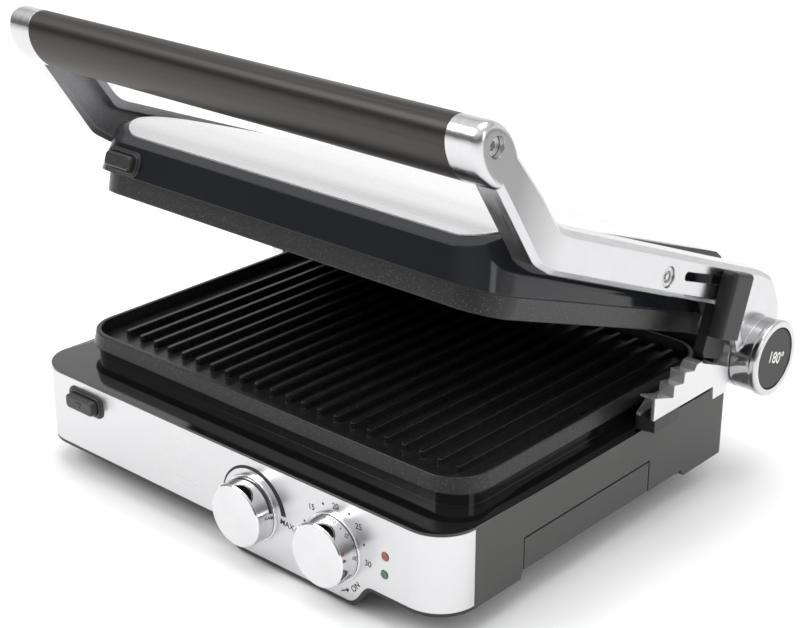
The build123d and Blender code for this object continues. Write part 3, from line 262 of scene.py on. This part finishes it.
# bright chrome of the rings behind the knobs
m = Mat("ring_chrome")
wide = m.noise(60.0, 3.0, 0.5)
m.put(Base_Color=m.mix(wide, (0.70, 0.70, 0.71), (0.80, 0.80, 0.81)), Metallic=1.0,
      Roughness=m.remap(wide, 0.3, 0.7, 0.05, 0.09))
m.put(Normal=m.bump(m.noise(220.0, 2.0, 0.5), 0.01, 0.0002, m.bevel(0.0003)))
ring_chrome = m.m


def knob_metal(name):
    """Turned face with concentric grooves and a smooth rim."""
    m = Mat(name)
    tan = m.n("ShaderNodeTangent", direction_type="RADIAL", axis="Y")
    gen = m.n("ShaderNodeTexCoord").outputs["Generated"]
    off = m.n("ShaderNodeVectorMath", operation="SUBTRACT")
    m.link(gen, off.inputs[0])
    off.inputs[1].default_value = (0.5, 0.0, 0.5)
    x, _, z = m.xyz(off.outputs[0])
    r = m.math("SQRT", m.math("ADD", m.math("MULTIPLY", x, x), m.math("MULTIPLY", z, z)))
    rings = m.n("ShaderNodeTexNoise", noise_dimensions="1D")
    m.link(r, rings.inputs["W"])
    rings.inputs["Scale"].default_value = 160.0
    rings.inputs["Detail"].default_value = 3.0
    geo = m.n("ShaderNodeNewGeometry")
    face = m.remap(m.math("ABSOLUTE", m.xyz(geo.outputs["True Normal"])[1]), 0.75, 0.9, 0.0, 1.0)
    m.put(Base_Color=m.mix(rings.outputs["Fac"], (0.62, 0.62, 0.63), (0.84, 0.84, 0.85)), Metallic=1.0,
          Roughness=m.remap(face, 0.0, 1.0, 0.07, 0.26), Anisotropic=0.8, Tangent=tan.outputs[0])
    m.put(Normal=m.bump(m.math("MULTIPLY", rings.outputs["Fac"], face), 0.12, 0.0001, m.bevel(0.0003)))
    return m.m


knob = knob_metal("knob_spun")

# handle: dark anodised, brushed along its length
m = Mat("handle_brushed")
grain = m.noise(1.0, 3.0, 0.6, m.scaled(5.0, 1100.0, 1100.0))
m.put(Base_Color=m.mix(grain, (0.034, 0.032, 0.030), (0.076, 0.072, 0.068)), Metallic=0.85,
      Roughness=m.remap(grain, 0.3, 0.7, 0.36, 0.46), Anisotropic=0.6)
m.put(Normal=m.bump(grain, 0.06, 0.0002))
handle_brushed = m.m


def arm_metal(name, side, ob):
    """Polished casting outside and on top, rough sandy casting on the inner side; painted shade darkens the flat
    outer face towards the handle.
    """
    m = Mat(name)
    inv = ob.matrix_world.inverted()
    way = inv.to_3x3() @ ARM_Y
    dot = m.n("ShaderNodeVectorMath", operation="DOT_PRODUCT")
    m.link(m.co, dot.inputs[0])
    dot.inputs[1].default_value = tuple(way)
    along = m.math("SUBTRACT", dot.outputs["Value"], (inv @ arm_point(0, 0, 0)).dot(way))
    # painted shade: mask that grows along the arm towards the handle end
    handle_shade_fade = m.remap(along, -0.226, -0.275, 0.0, 1.0)
    geo = m.n("ShaderNodeNewGeometry")
    back = m.n("ShaderNodeVectorTransform", vector_type="NORMAL", convert_from="WORLD", convert_to="OBJECT")
    m.link(geo.outputs["True Normal"], back.inputs[0])
    nx = m.math("MULTIPLY", m.xyz(back.outputs[0])[0], float(side))
    inner = m.remap(nx, -0.62, -0.72, 0.0, 1.0)
    sand = m.noise(700.0, 4.0, 0.7)
    cast = m.noise(60.0, 3.0, 0.6)
    polish = m.noise(1.0, 3.0, 0.6, m.scaled(500.0, 60.0, 60.0))
    bright = m.mix(polish, (0.54, 0.54, 0.55), (0.66, 0.66, 0.67))
    # painted shade: the flat outer face (nx > 0.9) is darkened to 0.29 grey towards the handle, standing in for a
    # dark reflection
    bright = m.mix(m.math("MULTIPLY", handle_shade_fade, m.remap(nx, 0.9, 0.97, 0.0, 1.0)), bright, (0.29, 0.29, 0.295))
    dull = m.mix(m.math("ADD", m.math("MULTIPLY", cast, 0.5), m.math("MULTIPLY", sand, 0.5)), (0.20, 0.20, 0.21), (0.46, 0.46, 0.47))
    m.put(Base_Color=m.mix(inner, bright, dull), Metallic=1.0,
          Roughness=m.math("ADD", m.math("MULTIPLY", inner, 0.36), m.remap(polish, 0.3, 0.7, 0.15, 0.22)))
    rough = m.math("MULTIPLY", inner, sand)
    m.put(Normal=m.bump(rough, 0.7, 0.0004, m.bevel(0.0008)))
    return m.m


arm_right = arm_metal("arm_right_cast", 1, N["right_arm"])
arm_left = arm_metal("arm_left_cast", -1, N["left_arm"])


def lens(name, deep, pale):
    """Small moulded lamp lens."""
    m = Mat(name)
    w = m.noise(400.0, 2.0, 0.5)
    m.put(Base_Color=m.mix(w, deep, pale), Roughness=0.22)
    m.b.inputs["Subsurface Weight"].default_value = 0.2
    m.b.inputs["Subsurface Radius"].default_value = (0.002, 0.001, 0.001)
    m.b.inputs["Coat Weight"].default_value = 0.4
    m.put(Normal=m.bump(w, 0.05, 0.0001, m.bevel(0.0003)))
    return m.m


red = lens("lens_red", (0.24, 0.045, 0.03), (0.32, 0.075, 0.05))
green = lens("lens_green", (0.03, 0.115, 0.06), (0.05, 0.16, 0.09))

# rubber
m = Mat("foot_rubber")
fine = m.noise(600.0, 4.0, 0.7)
m.put(Base_Color=m.mix(fine, (0.012, 0.012, 0.012), (0.022, 0.022, 0.022)), Roughness=0.75)
m.put(Normal=m.bump(fine, 0.3, 0.0002, m.bevel(0.0005)))
rubber = m.m

# heating element: dull oxidised tube
m = Mat("element_oxide")
heat = m.noise(30.0, 4.0, 0.6)
m.put(Base_Color=m.mix(heat, (0.11, 0.10, 0.09), (0.20, 0.17, 0.14)), Metallic=0.8, Roughness=m.remap(heat, 0.3, 0.7, 0.42, 0.6))
m.put(Normal=m.bump(m.noise(900.0), 0.1, 0.0001))
element = m.m

looks = {
    steel_front: ["front_fascia"],
    steel_lid: ["lid_top_panel"],
    steel_inner: ["lower_reflector", "upper_reflector", "cover_screws", "hinge_pins", "hinge_washers", "handle_rod",
                  "handle_bolts", "lid_pivot_screws", "thermostat_shaft", "timer_shaft", "lid_inner_frame"],
    housing: ["base_housing", "drip_tray", "rear_hinge_cover"],
    trim_black: ["fascia_trim", "hinge_shoulders", "rear_plate_clips"],
    cover_black: ["bottom_cover", "spring_post", "drain_chute", "thermostat_body", "timer_body"],
    button_black: ["lower_release_button", "upper_release_button", "lower_button_bezel", "upper_button_bezel",
                   "lower_latch", "upper_latch", "mains_inlet"],
    lever_black: ["height_lever"],
    disc_grey: ["hinge_button_180", "left_hinge_cap"],
    deck_gloss: ["top_deck"],
    white_ceramic: ["terminal_block", "thermal_fuse"],
    lid_gloss: ["lid_housing"],
    nonstick: ["lower_grill_plate", "upper_grill_plate", "lower_plate_lug", "lower_plate_feet", "upper_plate_lug"],
    bracket_chrome: ["right_hinge_bracket", "left_hinge_bracket"],
    ring_chrome: ["knob_rings"],
    knob: ["thermostat_knob", "timer_knob"],
    handle_brushed: ["handle_tube"],
    arm_right: ["right_arm"],
    arm_left: ["left_arm"],
    red: ["power_lamp"],
    green: ["heat_lamp"],
    rubber: ["rubber_feet"],
    element: ["lower_heating_element", "upper_heating_element"],
}
for material, names in looks.items():
    for name in names:
        ob = N[name]
        if not ob.material_slots:
            ob.data.materials.append(material)
        for s in ob.material_slots:
            s.material = material


# ---------------------------------------------------------------- small pieces
def mesh_piece(name, verts, faces, material, body):
    me = bpy.data.meshes.new(name)
    me.from_pydata([tuple(v) for v in verts], [], faces)
    me.update()
    bm = bmesh.new()
    bm.from_mesh(me)
    bmesh.ops.recalc_face_normals(bm, faces=bm.faces)
    bm.to_mesh(me)
    bm.free()
    me.materials.append(material)
    ob = bpy.data.objects.new(name, me)
    scene.collection.objects.link(ob)
    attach(ob, body)
    return ob


def slab(name, outline, origin, ax, ay, height, material, body):
    """Thin printed or raised mark: a closed outline (mm) on a plane, raised by height (mm) along ax x ay."""
    nrm = ax.cross(ay)
    low = [origin + ax * (x * MM) + ay * (y * MM) for x, y in outline]
    top = [p + nrm * (height * MM) for p in low]
    n = len(outline)
    faces = [tuple(range(n)), tuple(range(n, 2 * n))]
    faces += [(i, (i + 1) % n, n + (i + 1) % n, n + i) for i in range(n)]
    return mesh_piece(name, low + top, faces, material, body)


def lettering(name, text, size, origin, ax, ay, height, material, body, turn=0.0):
    """Raised figures on a plane, centred at origin."""
    cu = bpy.data.curves.new(name, "FONT")
    cu.body = text
    cu.size = size * MM
    cu.extrude = height * MM / 2
    cu.offset = size * MM * 0.012
    cu.align_x = "CENTER"
    cu.align_y = "CENTER"
    tmp = bpy.data.objects.new(name + "_curve", cu)
    scene.collection.objects.link(tmp)
    bpy.context.view_layer.update()
    me = bpy.data.meshes.new_from_object(tmp.evaluated_get(bpy.context.evaluated_depsgraph_get()))
    bpy.data.objects.remove(tmp)
    nrm = ax.cross(ay)
    a = ax * cos(turn) + ay * sin(turn)
    b = -ax * sin(turn) + ay * cos(turn)
    o = origin + nrm * (height * MM / 2)
    me.transform(Matrix(((a.x, b.x, nrm.x, o.x), (a.y, b.y, nrm.y, o.y), (a.z, b.z, nrm.z, o.z), (0, 0, 0, 1))))
    me.materials.clear()
    me.materials.append(material)
    me.name = name
    ob = bpy.data.objects.new(name, me)
    scene.collection.objects.link(ob)
    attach(ob, body)
    return ob


X, Z = Vector((1, 0, 0)), Vector((0, 0, 1))


def dial(x, z):
    return Vector((x * MM, YF, z * MM))


# dial of the timer: numbers, dots, arrow and ON
for text, x, z, turn in (("15", 69.3, 50.0, 0.1), ("20", 86.5, 56.7, 0.15), ("25", 102.5, 51.0, 0.1), ("30", 108.9, 32.0, 0.0),
                         ("MAX", 50.8, 32.2, -0.1), ("ON", 100.1, 14.6, 0.9)):
    lettering("dial_" + text, text, 4.7, dial(x, z), X, Z, 0.06, ink, "base", turn)
for i, (x, z) in enumerate(((64.0, 39.8), (77.7, 55.1), (96.0, 56.0), (106.2, 42.0), (62.2, 29.0))):
    slab("dial_dot_%d" % i, [(0.75 * cos(a * pi / 8), 0.75 * sin(a * pi / 8)) for a in range(16)], dial(x, z), X, Z,
         0.06, ink, "base")
turned = Vector((cos(0.45), 0, sin(0.45)))
slab("dial_arrow", [(0, 0.35), (4.2, 0.35), (4.2, 1.3), (6.4, 0.0), (4.2, -1.3), (4.2, -0.35), (0, -0.35)],
     dial(90.0, 8.5), turned, turned.cross(Vector((0, 1, 0))), 0.06, ink, "base")


def arc_mark(name, cx, cz, r, a0, a1, w0, w1):
    """Tapered arc beside a knob."""
    k = 28
    outer, inner = [], []
    for i in range(k + 1):
        t = i / k
        a = radians(a0 + (a1 - a0) * t)
        w = w0 + (w1 - w0) * t
        outer.append(((r + w) * cos(a), (r + w) * sin(a)))
        inner.append((r * cos(a), r * sin(a)))
    verts, faces = [], []
    for (xo, zo), (xi, zi) in zip(outer, inner):
        for dy in (0.0, -0.06):
            verts += [(dial(cx + xo, cz + zo) + Vector((0, dy * MM, 0))), (dial(cx + xi, cz + zi) + Vector((0, dy * MM, 0)))]
    for i in range(k):
        a, b = 4 * i, 4 * (i + 1)
        faces += [(a, a + 1, b + 1, b), (a + 2, b + 2, b + 3, a + 3), (a, b, b + 2, a + 2), (a + 1, a + 3, b + 3, b + 1)]
    faces += [(0, 2, 3, 1), (4 * k, 4 * k + 1, 4 * k + 3, 4 * k + 2)]
    return mesh_piece(name, verts, faces, ink, "base")


arc_mark("heat_arc", 24.45, 32.9, 22.4, 165.0, 8.0, 0.7, 3.7)
slab("heat_low_dot", [(0.9 * cos(a * pi / 8), 0.9 * sin(a * pi / 8)) for a in range(16)], dial(3.4, 24.0), X, Z, 0.06,
     ink, "base")

# figures on the hinge button
lettering("disc_180", "180°", 9.6, arm_point(180.1, 1.4, 0.2), ARM_Y, ARM_Z, 0.12, ink_white, "hinge_button")

# raised triangles on the two release buttons
TRI = [(-2.6, 1.6), (2.6, 1.6), (0.0, -1.9)]
slab("lower_button_mark", TRI, Vector((-0.1134, YF - 0.0064, 0.0506)), X, Z, 0.25, button_black, "lower_release")
o = arm_point(-116.9, -252.5 - 5.5, 25.0)
slab("upper_button_mark", TRI, o, X, ARM_Z, 0.25, button_black, "upper_release")


def coil(name, centre, axis, radius, length, turns, wire, body, node):
    """Helical spring in place of its plain tube. The axis points the way its button is pressed."""
    axis = axis.normalized()
    side = axis.orthogonal().normalized()
    other = axis.cross(side)
    cu = bpy.data.curves.new(name, "CURVE")
    cu.dimensions = "3D"
    cu.bevel_depth = wire * MM / 2
    cu.bevel_resolution = 2
    sp = cu.splines.new("POLY")
    k = int(turns * 16)
    sp.points.add(k)
    for i in range(k + 1):
        a = 2 * pi * i / 16
        p = centre + axis * ((i / k - 0.5) * (length - wire) * MM) + (side * cos(a) + other * sin(a)) * (radius * MM)
        sp.points[i].co = (*p, 1.0)
    tmp = bpy.data.objects.new(name + "_curve", cu)
    scene.collection.objects.link(tmp)
    bpy.context.view_layer.update()
    me = bpy.data.meshes.new_from_object(tmp.evaluated_get(bpy.context.evaluated_depsgraph_get()))
    bpy.data.objects.remove(tmp)
    me.materials.clear()
    me.materials.append(steel_inner)
    ob = bpy.data.objects.new(name, me)
    scene.collection.objects.link(ob)
    for p in me.polygons:
        p.use_smooth = True
    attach(ob, body)
    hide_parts(node)
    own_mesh(ob)


coil("lower_spring_coil", Vector((-0.113, -0.09135, 0.0506)), Vector((0, 1, 0)), 2.6, 12.7, 7, 0.7, "base",
     "lower_release_spring")
coil("upper_spring_coil", arm_point(-117.0, -230.75, 24.6), ARM_Y, 2.25, 8.1, 6, 0.6, "lid", "upper_release_spring")
coil("hinge_spring_coil", arm_point(174.3, 0, 0), -X, 10.5, 4.1, 3, 0.8, "arms", "hinge_button_spring")

# ---------------------------------------------------------------- floor and light
me = bpy.data.meshes.new("floor")
me.from_pydata([(-20, -20, 0), (20, -20, 0), (20, 20, 0), (-20, 20, 0)], [], [(0, 1, 2, 3)])
floor = bpy.data.objects.new("floor", me)
scene.collection.objects.link(floor)
m = Mat("floor_pale")
m.put(Base_Color=m.mix(m.noise(3.0), (0.92, 0.92, 0.92), (0.95, 0.95, 0.95)), Roughness=0.6)
m.b.inputs["Specular IOR Level"].default_value = 0.2
me.materials.append(m.m)

world = bpy.data.worlds.new("studio")
world.use_nodes = True
scene.world = world
t = world.node_tree
t.nodes.clear()


def wnode(kind, **props):
    node = t.nodes.new(kind)
    for k, v in props.items():
        setattr(node, k, v)
    return node


def wramp(fac, *stops):
    node = wnode("ShaderNodeValToRGB")
    t.links.new(fac, node.inputs[0])
    e = node.color_ramp.elements
    while len(e) < len(stops):
        e.new(0.5)
    for i, (p, v) in enumerate(stops):
        e[i].position = p
        e[i].color = (v, v, v, 1)
    return node.outputs["Color"]


sep = wnode("ShaderNodeSeparateXYZ")
t.links.new(wnode("ShaderNodeTexCoord").outputs["Generated"], sep.inputs[0])
front = wramp(sep.outputs[2], (0.0, 0.16), (0.22, 0.2), (0.45, 0.55), (0.62, 1.0), (1.0, 1.1))
rear = wramp(sep.outputs[2], (0.0, 1.0), (0.35, 1.0), (0.5, 0.6), (0.7, 0.9), (1.0, 1.1))
rng = wnode("ShaderNodeMapRange", interpolation_type="SMOOTHSTEP")
rng.inputs["From Min"].default_value = -0.35
rng.inputs["From Max"].default_value = 0.35
t.links.new(sep.outputs[1], rng.inputs["Value"])
mix = wnode("ShaderNodeMix", data_type="RGBA")
t.links.new(rng.outputs["Result"], mix.inputs[0])
t.links.new(front, mix.inputs[6])
t.links.new(rear, mix.inputs[7])
bg = wnode("ShaderNodeBackground")
t.links.new(mix.outputs[2], bg.inputs["Color"])
bg.inputs["Strength"].default_value = 1.0
t.links.new(bg.outputs[0], wnode("ShaderNodeOutputWorld").inputs[0])


def area(name, loc, target, size, power, size_y=None):
    d = bpy.data.lights.new(name, "AREA")
    d.shape = "RECTANGLE"
    d.size = size
    d.size_y = size_y or size
    d.energy = power
    ob = bpy.data.objects.new(name, d)
    scene.collection.objects.link(ob)
    ob.location = loc
    ob.rotation_euler = (Vector(target) - Vector(loc)).to_track_quat("-Z", "Y").to_euler()
    return ob


area("key", (-0.9, -1.3, 1.5), (0, 0, 0.1), 1.0, 15.5)
area("top", (0.1, 0.2, 1.9), (0, 0, 0.1), 1.4, 18.0)
area("rim", (1.5, -0.2, 0.7), (0, 0, 0.1), 0.35, 2.4, 0.9)

scene.view_settings.view_transform = "Standard"
